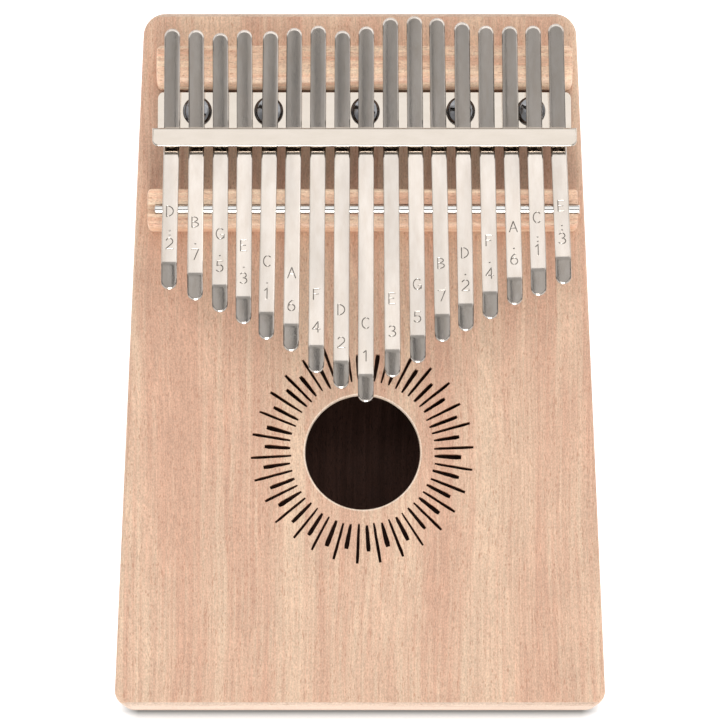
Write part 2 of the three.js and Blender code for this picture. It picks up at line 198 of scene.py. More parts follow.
def offset_loop(loop, insets):
    """A counter-clockwise loop with each point moved inwards by its own distance."""
    moved = []
    for i, point in enumerate(loop):
        before = (point - loop[i - 1]).normalized()
        after = (loop[(i + 1) % len(loop)] - point).normalized()
        a = Vector((-before.y, before.x))
        b = Vector((-after.y, after.x))
        moved.append(point + (a + b) / max(1 + a.dot(b), 0.2) * insets[i])
    return moved


def rectangle(left, right, front, back, radii, steps=8):
    """A rectangle with its own radius at each corner, from the front left one counter-clockwise."""
    corners = [(left, front), (right, front), (right, back), (left, back)]
    return rounded_loop([(x, y, r) for (x, y), r in zip(corners, radii)], steps)


# ---- closed meshes ----

class Shell:
    """The points and faces of one closed mesh, in millimetres. marks holds each face's material."""

    def __init__(self):
        self.points = []
        self.faces = []
        self.marks = []

    def ring(self, points):
        first = len(self.points)
        self.points.extend(points)
        return list(range(first, len(self.points)))

    def face(self, indices, mark=0):
        self.faces.append(tuple(indices))
        self.marks.append(mark)

    def band(self, lower, upper, mark=0):
        """Quads between two rings; they face outwards where counter-clockwise rings go up.

        mark is a material, or a function of a quad's first point that gives one.
        """
        for i in range(len(lower)):
            j = (i + 1) % len(lower)
            quad_mark = mark(self.points[lower[i]]) if callable(mark) else mark
            self.face((lower[i], lower[j], upper[j], upper[i]), quad_mark)

    def bands(self, rings, mark=0, way=1):
        """Bands from each ring (indices, flat points) to the next. way is -1 to turn them over."""
        for (below, _), (above, _) in zip(rings, rings[1:]):
            self.band(*(below, above)[::way], mark)

    def cap(self, rings, place, up=True, lines=(), mark=0):
        """Fills the first ring less the others. Each ring is (indices, flat points).

        lines are flat polylines that the faces keep to, and place() puts a flat point in space.
        mark is a material, or a function of a face's flat middle that gives one.
        """
        flat, known, loops, edges = [], [], [], []
        for indices, outline in rings:
            loops.append(list(range(len(flat), len(flat) + len(outline))))
            flat.extend(outline)
            known.extend(indices)
        for line in lines:
            first = len(flat)
            flat.extend(line)
            known.extend([None] * len(line))
            edges.extend((first + i, first + i + 1) for i in range(len(line) - 1))
        result = delaunay_2d_cdt(flat, edges, loops, ALL_TRIANGLES, JOIN_DISTANCE)
        found, _, faces, from_points, _, from_faces = result
        indices = []
        for point, sources in zip(found, from_points):
            old = [known[s] for s in sources if known[s] is not None]
            indices.append(old[0] if old else self.ring([place(point)])[0])
        for face, sources in zip(faces, from_faces):
            if 0 in sources and max(sources) == 0:
                corners = [indices[i] for i in face]
                middle = sum((found[i] for i in face), Vector((0, 0))) / len(face)
                self.face(corners if up else corners[::-1], mark(middle) if callable(mark) else mark)


def edge_rings(shell, loop, low, high, low_round, high_round, steps, way=1):
    """Rings from a flat piece's lower face up to its upper one, with both edges rounded.

    A rounding is a radius, or a function of the point that gives one. way is -1 round a hole.
    """
    angles = [RIGHT_ANGLE * step / steps for step in range(steps + 1)]
    stages = [(low, low_round, 1 - math.sin(a), 1 - math.cos(a)) for a in angles]
    stages += [(high, high_round, 1 - math.cos(a), math.sin(a) - 1) for a in angles]
    rings = []
    for face_height, rounding, inward, rise in stages:
        radii = [rounding(p) if callable(rounding) else rounding for p in loop]
        flat = offset_loop(loop, [way * r * inward for r in radii])
        heights = [face_height + r * rise for r in radii]
        rings.append((shell.ring([Vector((*p, z)) for p, z in zip(flat, heights)]), flat))
    return rings


def plate(outline, low, high, low_round, high_round, holes=(), steps=4, marks=(0, 0), edge_mark=0):
    """A flat piece with rounded edges. marks are for its lower and upper face, edge_mark for its edge.

    holes are (loop, rounding, mark), where mark is for the hole's wall.
    """
    shell = Shell()
    lower, upper = [], []
    rings = edge_rings(shell, outline, low, high, low_round, high_round, steps)
    shell.bands(rings, edge_mark)
    lower.append(rings[0])
    upper.append(rings[-1])
    for loop, rounding, mark in holes:
        rings = edge_rings(shell, loop, low, high, rounding, rounding, 2, way=-1)
        shell.bands(rings, mark, -1)
        lower.append(rings[0])
        upper.append(rings[-1])
    shell.cap(lower, lambda p: Vector((*p, low)), up=False, mark=marks[0])
    shell.cap(upper, lambda p: Vector((*p, high)), up=True, mark=marks[1])
    return shell


def rail(sections):
    """A closed mesh through sections (x, loop), where a loop is flat points (y, z).

    Each loop is counter-clockwise seen from +X, and x goes up.
    """
    shell = Shell()
    rings = []
    for x, loop in sections:
        rings.append((shell.ring([Vector((x, p.x, p.y)) for p in loop]), loop))
    shell.bands(rings, way=-1)
    shell.cap([rings[0]], None, up=False)
    shell.cap([rings[-1]], None, up=True)
    return shell


def quarter_round(radius, steps):
    """A rounded end or edge as (distance from where it starts, inset), from its start."""
    angles = [RIGHT_ANGLE * i / steps for i in range(steps + 1)]
    return [(radius * (1 - math.cos(a)), radius * (1 - math.sin(a))) for a in angles]


def mirrored_rail(left_x, right_x, sections):
    """A rail whose two ends have the same sections, (distance from the end, loop)."""
    left = [(left_x + offset, loop) for offset, loop in sections]
    right = [(right_x - offset, loop) for offset, loop in reversed(sections)]
    return rail(left + right)


def lathe(profile, sides, centre, radius_at):
    """A closed mesh turned about an upright axis.

    profile is (radius, height) from bottom to top, and radius_at() may change a radius by its angle.
    """
    shell = Shell()
    rings = []
    for radius, height in profile:
        points = []
        for i in range(sides):
            angle = 2 * math.pi * i / sides
            r = radius_at(radius, height, angle)
            points.append(centre + Vector((r * math.cos(angle), r * math.sin(angle), height)))
        rings.append(shell.ring(points))
    for lower, upper in zip(rings, rings[1:]):
        shell.band(lower, upper)
    shell.face(rings[0][::-1])
    shell.face(rings[-1])
    return shell


def mesh_of(name, shell):
    mesh = bpy.data.meshes.new(name)
    mesh.from_pydata([p * MM for p in shell.points], [], shell.faces)
    mesh.polygons.foreach_set("material_index", shell.marks)
    mesh.update()
    return mesh


def add_object(name, mesh):
    obj = bpy.data.objects.new(name, mesh)
    bpy.context.scene.collection.objects.link(obj)
    return obj


def cut_and_joined(shell, steps):
    """A shell after a list of (operation, shell) booleans, as a mesh."""
    obj = add_object("boolean_work", mesh_of("boolean_work", shell))
    tools = []
    for operation, tool_shell in steps:
        tool = add_object("boolean_tool", mesh_of("boolean_tool", tool_shell))
        tool.hide_render = True
        modifier = obj.modifiers.new("boolean", "BOOLEAN")
        modifier.operation = operation
        modifier.solver = "EXACT"
        modifier.object = tool
        tools.append(tool)
    graph = bpy.context.evaluated_depsgraph_get()
    mesh = bpy.data.meshes.new_from_object(obj.evaluated_get(graph), depsgraph=graph)
    for used in [obj, *tools]:
        bpy.data.objects.remove(used)
    return mesh


def make_piece(name, made, materials, replaced, body="box", sharp=32):
    """A piece from a shell or a mesh, smooth up to the sharp angle, in degrees.

    It rides on a body, or on none when body is None.
    """
    mesh = mesh_of(name, made) if isinstance(made, Shell) else made
    mesh.name = name
    for material in materials:
        mesh.materials.append(material)
    mesh.validate()
    mesh.shade_smooth()
    mesh.set_sharp_from_angle(angle=math.radians(sharp))
    obj = add_object(name, mesh)
    weighted = obj.modifiers.new("weighted", "WEIGHTED_NORMAL")
    weighted.keep_sharp = True
    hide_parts(*replaced)
    if body:
        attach(obj, body)
    return obj


# ---- materials ----

class Graph:
    """A material, or the world's light, and short ways to add nodes to it."""

    def __init__(self, name, kind=bpy.data.materials):
        self.material = kind.new(name)
        self.material.use_nodes = True
        self.tree = self.material.node_tree
        self.tree.nodes.clear()

    def node(self, kind, inputs, output=0, **settings):
        made = self.tree.nodes.new(kind)
        for key, value in settings.items():
            setattr(made, key, value)
        for key, value in inputs.items():
            if isinstance(value, bpy.types.NodeSocket):
                self.tree.links.new(value, made.inputs[key])
            else:
                made.inputs[key].default_value = value
        return made.outputs[output]

    def millimetres(self, along):
        """Object coordinates in millimetres, turned so that Z runs along the grain."""
        place = self.node("ShaderNodeTexCoord", {}, "Object")
        scaled = self.node("ShaderNodeVectorMath", {0: place, "Scale": 1 / MM}, operation="SCALE")
        parts = self.tree.nodes.new("ShaderNodeSeparateXYZ")
        self.tree.links.new(scaled, parts.inputs[0])
        order = {"X": (1, 2, 0), "Y": (0, 2, 1), "Z": (0, 1, 2)}[along]
        return self.node("ShaderNodeCombineXYZ", {i: parts.outputs[order[i]] for i in range(3)})

    def stretched(self, vector, across, along):
        """Coordinates whose unit is across millimetres across the grain and along millimetres along it."""
        scale = (1 / across, 1 / across, 1 / along)
        return self.node("ShaderNodeVectorMath", {0: vector, 1: scale}, operation="MULTIPLY")

    def noise(self, vector, detail=2.0, roughness=0.5, distortion=0.0):
        inputs = {"Vector": vector, "Scale": 1.0, "Detail": detail, "Roughness": roughness}
        return self.node("ShaderNodeTexNoise", {**inputs, "Distortion": distortion}, "Fac")

    def spread(self, value, low, high, to_low=0.0, to_high=1.0):
        """A value's range low to high, moved to another range and clamped."""
        inputs = {"Value": value, 1: low, 2: high, 3: to_low, 4: to_high}
        return self.node("ShaderNodeMapRange", inputs, clamp=True)

    def maths(self, a, b, operation="ADD"):
        """A value worked out from two others, or from the first one alone."""
        return self.node("ShaderNodeMath", {0: a, 1: b}, operation=operation)

    def part(self, vector, axis):
        """One coordinate of a vector."""
        return self.node("ShaderNodeSeparateXYZ", {0: vector}, axis)

    def grey(self, value):
        """The same value as red, green and blue."""
        return self.node("ShaderNodeCombineXYZ", {i: value for i in range(3)})

    def mix(self, factor, a, b, blend="MIX"):
        made = self.tree.nodes.new("ShaderNodeMix")
        made.data_type = "RGBA"
        made.blend_type = blend
        for socket, value in ((0, factor), (6, a), (7, b)):
            if isinstance(value, bpy.types.NodeSocket):
                self.tree.links.new(value, made.inputs[socket])
            else:
                made.inputs[socket].default_value = value
        return made.outputs[2]

    def bump(self, height, distance):
        return self.node("ShaderNodeBump", {"Height": height, "Distance": distance, "Strength": 1.0})

    def finish(self, **inputs):
        """The material with a principled surface, whose inputs are named in small letters."""
        names = {}
        for key, value in inputs.items():
            names[key.replace("_", " ").title().replace("Ior", "IOR")] = value
        surface = self.node("ShaderNodeBsdfPrincipled", names)
        made = self.tree.nodes.new("ShaderNodeOutputMaterial")
        self.tree.links.new(surface, made.inputs["Surface"])
        return self.material


def colour(red, green, blue):
    """An sRGB colour, 0 to 255, as linear RGBA."""
    linear = []
    for value in (red, green, blue):
        share = value / 255
        linear.append(share / 12.92 if value <= 10 else ((share + 0.055) / 1.055) ** 2.4)
    return (*linear, 1.0)


# where the wood turns darker and redder, left of the soundhole: its middle, and where it has
# faded out and is full, in millimetres across the grain and along it
DARK_ZONE = Vector((-42, -8))
DARK_ZONE_ACROSS = (17, 3)
DARK_ZONE_ALONG = (55, 12)
WOOD_RELIEF = 0.00003
POLISH_RELIEF = 0.000002


def wood(name, along, dark, light, pore, bands=9.0, figure=0.05, pores=0.5, rough=0.58, shine=0.5,
         zone_darkening=0.0):
    """Sanded open-pored wood in one solid grain, with bands, lines, speckle, pores and a slanting figure.

    bands is their width in millimetres, and zone_darkening is how much darker and redder the wood is round
    DARK_ZONE.
    """
    g = Graph(name)
    place = g.millimetres(along)
    wander = g.noise(g.stretched(place, 30, 70), 1.0)
    offset = g.maths(g.maths(wander, 0.5, "SUBTRACT"), 5.0, "MULTIPLY")
    shift = g.node("ShaderNodeCombineXYZ", {0: offset, 1: offset, 2: 0.0})
    grain = g.node("ShaderNodeVectorMath", {0: place, 1: shift}, operation="ADD")
    band = g.noise(g.stretched(grain, bands, bands * 22), 3.0, 0.62)
    streak = g.noise(g.stretched(grain, 1.1, 60), 2.0, 0.6)
    line = g.noise(g.stretched(grain, 0.42, 34), 1.0, 0.5)
    fibre = g.noise(g.stretched(grain, 0.3, 3.2), 2.0, 0.6)
    speckle = g.noise(g.stretched(grain, 0.34, 0.5), 1.0, 0.5)
    slanted = g.node("ShaderNodeVectorRotate", {"Vector": grain, "Angle": 0.3}, rotation_type="Y_AXIS")
    fleck = g.noise(g.stretched(slanted, 0.7, 4.0), 1.0, 0.5)
    ribbon = g.noise(g.stretched(place, 9, 16), 2.0, 0.55, 0.6)
    share = g.maths(g.spread(band, 0.34, 0.66), g.spread(streak, 0.3, 0.7, -0.5, 0.5))
    if zone_darkening:
        from_side = g.maths(g.maths(g.part(grain, "X"), -DARK_ZONE.x), 0, "ABSOLUTE")
        from_end = g.maths(g.maths(g.part(grain, "Z"), -DARK_ZONE.y), 0, "ABSOLUTE")
        beside = g.spread(from_side, *DARK_ZONE_ACROSS)
        beyond = g.spread(from_end, *DARK_ZONE_ALONG, 0.0, zone_darkening)
        share = g.maths(share, g.maths(beside, beyond, "MULTIPLY"), "SUBTRACT")
    base = g.mix(share, dark, light)
    lift = g.maths(g.spread(fibre, 0.25, 0.75, -0.07, 0.07), g.spread(ribbon, 0.3, 0.7, -figure, figure))
    lift = g.maths(lift, g.spread(line, 0.3, 0.7, -0.06, 0.06))
    lift = g.maths(lift, g.spread(speckle, 0.3, 0.7, -0.13, 0.13))
    flecks = g.maths(g.spread(fleck, 0.35, 0.75, -0.05, 0.09), g.spread(ribbon, 0.45, 0.6), "MULTIPLY")
    lift = g.maths(lift, flecks)
    lit = g.mix(1.0, base, g.grey(g.maths(lift, 1.0)), "MULTIPLY")
    pits = g.noise(g.stretched(grain, 0.24, 1.4), 0.0)
    pit = g.spread(pits, 0.67, 0.74, 0.0, pores)
    coloured = g.mix(pit, lit, pore)
    relief = g.maths(g.spread(fibre, 0.2, 0.8), g.maths(pit, 1.6, "MULTIPLY"), "SUBTRACT")
    matt = g.spread(fibre, 0.25, 0.75, rough - 0.08, rough + 0.1)
    normal = g.bump(relief, WOOD_RELIEF)
    return g.finish(base_color=coloured, roughness=matt, specular_ior_level=shine, normal=normal)


def metal(name, along, tone, stained, rough, fine=0.12, stretch=14, patch=0.04, drift=0.02):
    """Finished steel, with fine polishing lines, patchy gloss, a faint stain and a slow drift in its tone.

    fine and stretch are the lines' width and length in millimetres.
    """
    g = Graph(name)
    place = g.millimetres(along)
    lines = g.noise(g.stretched(place, fine, stretch), 2.0, 0.6)
    patches = g.noise(g.stretched(place, 2.2, 7), 3.0, 0.6)
    base = g.mix(g.spread(patches, 0.35, 0.75), tone, stained)
    slow = g.noise(g.stretched(place, 5, 150), 1.0)
    lift = g.spread(slow, 0.35, 0.65, 1 - drift, 1 + drift)
    lift = g.maths(lift, g.spread(lines, 0.3, 0.7, 0.985, 1.015), "MULTIPLY")
    base = g.mix(1.0, base, g.grey(lift), "MULTIPLY")
    gloss = g.spread(lines, 0.3, 0.7, rough * 0.8, rough * 1.2)
    gloss = g.maths(gloss, g.spread(patches, 0.3, 0.7, -patch, patch))
    normal = g.bump(lines, POLISH_RELIEF)
    return g.finish(base_color=base, metallic=1.0, roughness=gloss, normal=normal)


MAHOGANY = wood(
    "mahogany", "Y", colour(204, 162, 137), colour(216, 185, 158), colour(174, 120, 92), zone_darkening=0.7,
)
END_GRAIN = wood("mahogany_ends", "X", colour(194, 165, 144), colour(207, 182, 162), colour(164, 118, 92))
# a paler copy of the mahogany for the soundhole's rounded rim and wall: a painted highlight round the hole
RIM_PAINTED_HIGHLIGHT = wood("mahogany_rim_painted_highlight", "Y", colour(230, 205, 182), colour(238, 218, 199), colour(204, 166, 138))
# a much darker copy of the mahogany for the box's inner faces: painted shade inside the box, which also
# darkens the slots and the soundhole
INSIDE_PAINTED_SHADE = wood("mahogany_inside_painted_shade", "Y", colour(60, 38, 30), colour(76, 51, 42), colour(34, 20, 16), shine=0.1)
PLATE_WOODS = [MAHOGANY, INSIDE_PAINTED_SHADE, RIM_PAINTED_HIGHLIGHT, END_GRAIN]
FACE_MARK, INSIDE_SHADE_MARK, RIM_HIGHLIGHT_MARK, END_MARK = range(len(PLATE_WOODS))
BRIDGE = wood(
    "bridge_wood", "X", colour(220, 172, 142), colour(238, 208, 178), colour(166, 110, 82),
    bands=4, figure=0.08, rough=0.42,
)
BLOCK = wood("block_wood", "X", colour(160, 116, 80), colour(196, 152, 110), colour(96, 62, 40))
NICKEL = metal(
    "tine_nickel", "Y", colour(197, 189, 181), colour(188, 178, 168), 0.11, patch=0.02, drift=0.08,
)
# in the engraved marks and on the tines' undersides, which aren't polished
ENGRAVED = metal(
    "tine_engraving", "Y", colour(176, 169, 162), colour(134, 128, 122), 0.3, fine=0.3, stretch=0.5,
)
TINE_STEELS = [NICKEL, ENGRAVED]
BRIGHT_MARK, DULL_MARK = range(len(TINE_STEELS))
CHROME = metal("rod_chrome", "X", colour(210, 208, 205), colour(200, 197, 193), 0.09, patch=0.02)
SATIN = metal(
    "bracket_nickel", "X", colour(195, 186, 176), colour(190, 181, 170), 0.1,
    fine=0.1, stretch=20, patch=0.01,
)
BLACKENED = metal(
    "screw_black", "X", colour(140, 140, 142), colour(104, 104, 106), 0.13,
    fine=0.6, stretch=0.6, patch=0.08,
)


# ---- sound box ----

def half_width(y):
    """Half the box's width, which narrows evenly towards the tuning end."""
    share = (y + BOX_END) / (2 * BOX_END)
    return (TAIL_WIDTH + (HEAD_WIDTH - TAIL_WIDTH) * share) / 2


TAIL_CORNERS = [(-TAIL_WIDTH / 2, -BOX_END, TAIL_CORNER), (TAIL_WIDTH / 2, -BOX_END, TAIL_CORNER)]
HEAD_CORNERS = [(HEAD_WIDTH / 2, BOX_END, HEAD_CORNER), (-HEAD_WIDTH / 2, BOX_END, HEAD_CORNER)]
BOX_OUTLINE = rounded_loop([*TAIL_CORNERS, *HEAD_CORNERS], 18)


def ray_loop(number, dice):
    """One knife-cut slot. Long and short ones take turns, and no two are quite alike."""
    is_long = number % 2
    reach = RAY_REACH[is_long] + dice.uniform(-0.5, 0.4)
    inner = RAY_INNER + dice.uniform(-0.25, 0.35)
    inner_width, outer_width = (w * dice.uniform(0.82, 1.16) for w in RAY_WIDTHS[is_long])
    skew = dice.uniform(-0.12, 0.12)
    waver = 0.04
    steps = 6
    right, left = [], []
    for i in range(steps + 1):
        share = i / steps
        # wide at the outer end, with a blunt corner on each side
        width = inner_width + (outer_width - inner_width) * share ** 0.8
        blunt = 0.72 if i in (0, steps) else 1.0
        out = inner + (reach - inner) * share
        for side, points in ((1, right), (-1, left)):
            across = side * width * blunt / 2 + skew * share + dice.uniform(-waver, waver)
            points.append(Vector((across, -out)))
    # round the outline counter-clockwise: out along the left side, and back along the right one
    turn = 2 * math.pi * (number + 0.5) / RAY_COUNT + dice.uniform(-0.008, 0.008)
    return [HOLE + turned(point, turn) for point in [*left, *right[::-1]]]


def screw_hole_loops():
    loops = []
    for node in SCREW_NODES:
        low, high = box_mm(node)
        loops.append(circle_loop(((low + high) / 2).xy, SCREW_HOLE_RADIUS, 24))
    return loops


def end_mark(point):
    """A plate's end grain shows along its two ends."""
    return END_MARK if abs(point.y) > BOX_END - END_GRAIN_DEPTH else FACE_MARK


def build_soundboard():
    dice = random.Random(17)
    # the soundhole's rim and wall take the paler copy, a painted highlight
    holes = [(circle_loop(HOLE, HOLE_RADIUS, 128), HOLE_ROUND, RIM_HIGHLIGHT_MARK)]
    holes += [(ray_loop(number, dice), RAY_ROUND, FACE_MARK) for number in range(RAY_COUNT)]
    holes += [(loop, SCREW_HOLE_ROUND, FACE_MARK) for loop in screw_hole_loops()]
    shell = plate(
        BOX_OUTLINE, board_low.z, board_high.z, SEAM_ROUND, OUTER_ROUND, holes,
        # the underside takes the dark copy that paints the shade inside the box
        steps=6, marks=(INSIDE_SHADE_MARK, FACE_MARK), edge_mark=end_mark,
    )
    make_piece("soundboard_sanded", shell, PLATE_WOODS, ["soundboard"])


def build_back():
    shell = plate(
        BOX_OUTLINE, back_low.z, back_high.z, OUTER_ROUND, SEAM_ROUND,
        # the inner face takes the dark copy that paints the shade inside the box
        steps=6, marks=(FACE_MARK, INSIDE_SHADE_MARK), edge_mark=end_mark,
    )
    make_piece("back_sanded", shell, PLATE_WOODS, ["back_plate"])


def build_walls():
    low, high = back_high.z, board_low.z
    inner_end = BOX_END - END_THICKNESS
    tail, head = half_width(-inner_end), half_width(inner_end)
    ends = {
        "tail_end": [*TAIL_CORNERS, (tail, -inner_end, SEAM_ROUND), (-tail, -inner_end, SEAM_ROUND)],
        "head_end": [(-head, inner_end, SEAM_ROUND), (head, inner_end, SEAM_ROUND), *HEAD_CORNERS],
    }
    for name, corners in ends.items():
        shell = plate(rounded_loop(corners), low, high, SEAM_ROUND, SEAM_ROUND, steps=2)
        make_piece(name + "_sanded", shell, [END_GRAIN], [name])
    for name, side in (("left_side", -1), ("right_side", 1)):
        corners = [
            (side * (tail - SIDE_THICKNESS), -inner_end, SEAM_ROUND),
            (side * tail, -inner_end, SEAM_ROUND),
            (side * head, inner_end, SEAM_ROUND),
            (side * (head - SIDE_THICKNESS), inner_end, SEAM_ROUND),
        ]
        loop = rounded_loop(corners if side > 0 else corners[::-1], 3)
        shell = plate(loop, low, high, SEAM_ROUND, SEAM_ROUND, steps=2)
        make_piece(name + "_sanded", shell, [MAHOGANY], [name])


# ---- bridges and rod ----

def bridge_section(front, back, low, top, front_round, back_round, groove=None):
    """A bridge seen from its right end, as a counter-clockwise loop of (y, z).

    groove is the middle, height and radius of the round groove that holds the rod.
    """
    corners = [
        (front, low, 0.15),
        (back, low, 0.15),
        (back, top, back_round),
        (front, top, front_round),
    ]
    corner_steps = 8
    loop = rounded_loop(corners, corner_steps)
    if groove is None:
        return loop
    centre, height, radius = groove
    dip = math.asin(min((top - height) / radius, 0.98))
    groove_steps = 14
    cut = []
    for i in range(groove_steps + 1):
        angle = dip - (math.pi + 2 * dip) * i / groove_steps
        cut.append(Vector((centre + radius * math.cos(angle), height + radius * math.sin(angle))))
    split = len(loop) - corner_steps - 1
    return [*loop[:split], *cut, *loop[split:]]


def build_bridge(node, front_round, back_round, end_round, groove=None):
    """A bridge whose ends are round seen from above, with their upper edge eased."""
    low, high = box_mm(node)
    ease = 0.5
    sections = []
    for offset, inset in quarter_round(end_round, 6):
        drop = ease * (1 - math.sqrt(1 - max(1 - offset / ease, 0) ** 2))
        front, back, top = low.y + inset, high.y - inset, high.z - drop
        loop = bridge_section(front, back, BOARD_TOP, top, front_round, back_round, groove)
        sections.append((offset, loop))
    shell = mirrored_rail(low.x, high.x, sections)
    make_piece(node + "_sanded", shell, [BRIDGE], [node], sharp=40)


def build_bridges():
    build_bridge("rear_bridge", 4.2, 0.7, 1.6)
    build_bridge("front_bridge", 1.7, 0.8, 1.2, (ROD_Y, ROD_HEIGHT, ROD_RADIUS + ROD_GAP))


def build_rod():
    centre = Vector((ROD_Y, ROD_HEIGHT))
    bevel = 0.3
    sections = [(x, circle_loop(centre, ROD_RADIUS - inset, 48)) for x, inset in quarter_round(bevel, 4)]
    shell = mirrored_rail(rod_low.x, rod_high.x, sections)
    make_piece("bridge_rod_polished", shell, [CHROME], ["bridge_rod"])


# ---- bracket and screws ----

def flange_round(point):
    """The flange's upper edge is bent at the back and only broken at the front and the ends."""
    return FLANGE_BEND_ROUND if point.y > WEB_BACK - 0.4 else FLANGE_EDGE_ROUND


def build_bracket():
    low, high = box_mm("tine_bracket")
    top = high.z
    web_top = top - SHEET / 2
    middle = (low.x + high.x) / 2
    plate_half = 55.05
    profile = rounded_loop([
        (WEB_FRONT, BOARD_TOP, 1.2),
        (high.y, BOARD_TOP, 0.1),
        (high.y, BOARD_TOP + SHEET, 0.3),
        (WEB_BACK, BOARD_TOP + SHEET, 1.2),
        (WEB_BACK, web_top, 0.2),
        (WEB_FRONT, web_top, 0.2),
    ], 6)
    corner = 2.0
    # a point that a rounded end draws in keeps a thousandth of its distance, so that no two coincide
    spacing = 0.001
    sections = []
    for offset, inset in quarter_round(corner, 7):
        loop = [Vector((min(p.x, high.y - inset - spacing * (high.y - p.x)), p.y)) for p in profile]
        sections.append((offset, loop))
    body = mirrored_rail(middle - plate_half, middle + plate_half, sections)

    flange_corner = 1.6
    radii = (flange_corner, flange_corner, 0, 0)
    flange_outline = rectangle(low.x, high.x, low.y, WEB_BACK, radii)
    flange = plate(flange_outline, top - SHEET, top, 0.25, flange_round, steps=5)

    openings = Shell()
    for number in range(1, TINE_COUNT + 1):
        tine = Tine(number)
        x = tine.at(TINE_LOW_Y, 0).x
        half = TINE_WIDTH / 2 + WINDOW_GAP
        window = rectangle(x - half, x + half, WEB_FRONT - 1, WEB_BACK + WINDOW_BACK, (0.3,) * 4, 2)
        low_z, high_z = BOARD_TOP + SHEET, BOARD_TOP + WINDOW_HEIGHT
        add_shell(openings, plate(window, low_z, high_z, 0.3, 0.3, steps=2))
    for loop in screw_hole_loops():
        low_z, high_z = BOARD_TOP - 1, BOARD_TOP + SHEET + 1
        add_shell(openings, plate(loop, low_z, high_z, 0.0001, 0.0001, steps=1))
    mesh = cut_and_joined(body, [("UNION", flange), ("DIFFERENCE", openings)])
    make_piece("tine_bracket_finished", mesh, [SATIN], ["tine_bracket"], sharp=34)


def add_shell(target, shell):
    """Adds one shell's points and faces to another."""
    first = len(target.points)
    target.points.extend(shell.points)
    for face, mark in zip(shell.faces, shell.marks):
        target.face([first + i for i in face], mark)


def cross_tool(centre, height, depth):
    """A tapered cross, wide at the top, that cuts a screw's recess."""
    reach, half_slot = 3.7, 0.5
    shell = Shell()
    rings = []
    for share in (0.0, 0.3, 1.0):
        arm = reach * (0.35 + 0.65 * share)
        half = half_slot * (0.6 + 0.4 * share)
        inner = half * 1.35
        points = []
        for quarter in range(4):
            corner = [(inner, -half), (arm, -half), (arm, half), (inner, half), (inner, inner)]
            points += [turned(Vector(p), RIGHT_ANGLE * quarter) for p in corner]
        z = height - depth * (1 - share)
        rings.append((shell.ring([centre + Vector((*p, z)) for p in points]), points))
    shell.bands(rings)
    shell.cap([rings[0]], None, up=False)
    shell.cap([rings[-1]], None, up=True)
    return shell


def build_screws():
    """Round-headed screws with a crossed recess, each turned its own way.

    Heights are from the underside of the head.
    """
    dice = random.Random(5)
    head_height = 2.5
    head_side = 0.8
    head_round = 0.95
    round_height = 1.15
    round_top = 1.95
    shank = 1.55
    pitch = 1.3
    pitch_steps = 6
    thread_height = 0.28
    thread_top = -1.5
    taper = 2.6

    def threaded(radius, height, angle):
        if height > thread_top or radius < shank - 0.01:
            return radius
        phase = (height / pitch - angle / (2 * math.pi)) % 1
        return radius + thread_height * (1 - min(abs(phase - 0.5) * 5, 1))

    for node in SCREW_NODES:
        low, high = box_mm(node)
        centre = Vector(((low.x + high.x) / 2, (low.y + high.y) / 2, BOARD_TOP + SHEET))
        head = (high.x - low.x) / 2 - 0.01
        tip = low.z - centre.z
        profile = [(0.15, tip + 0.01), (0.9, tip + 1.5)]
        rounds = int((thread_top - tip - taper) / (pitch / pitch_steps))
        for i in range(rounds + 1):
            profile.append((shank, tip + taper + i * pitch / pitch_steps))
        profile += [(shank, -0.2), (shank + 0.15, 0.02)]
        profile += [(head - 0.25, 0.02), (head, 0.25), (head, head_side)]
        for i in range(1, 9):
            angle = RIGHT_ANGLE * i / 8
            r = head - head_round + head_round * math.cos(angle)
            profile.append((r, head_side + round_height * math.sin(angle)))
        for share in (0.75, 0.5, 0.25, 0.05):
            r = (head - head_round) * share
            profile.append((r, head_height - (head_height - round_top) * share ** 2))
        blank = lathe(profile, 48, centre, threaded)
        recess = cross_tool(Vector((0, 0, 0)), head_height + 0.3, 1.9)
        turn = dice.uniform(0, RIGHT_ANGLE)
        recess.points = [centre + Vector((*turned(p.xy, turn), p.z)) for p in recess.points]
        mesh = cut_and_joined(blank, [("DIFFERENCE", recess)])
        make_piece(f"{node}_blackened", mesh, [BLACKENED], [node], sharp=30)


# ---- tines ----

def walk(start, way, legs):
    """Points along a strip from a low point, with way 1 towards the tuning end and -1 towards the tip.

    Each leg is (run, slope at its end), and a change of slope is an arc.
    """
    points = [start]
    slope = 0
    for run, end_slope in legs:
        steps = BEND_STEPS if end_slope != slope else max(1, round(run / STRAIGHT_STEP))
        for step in range(steps):
            angle = math.radians(slope + (end_slope - slope) * (step + 0.5) / steps)
            y, z = points[-1]
            points.append((y + way * run / steps, z + math.tan(angle) * run / steps))
        slope = end_slope
    return points


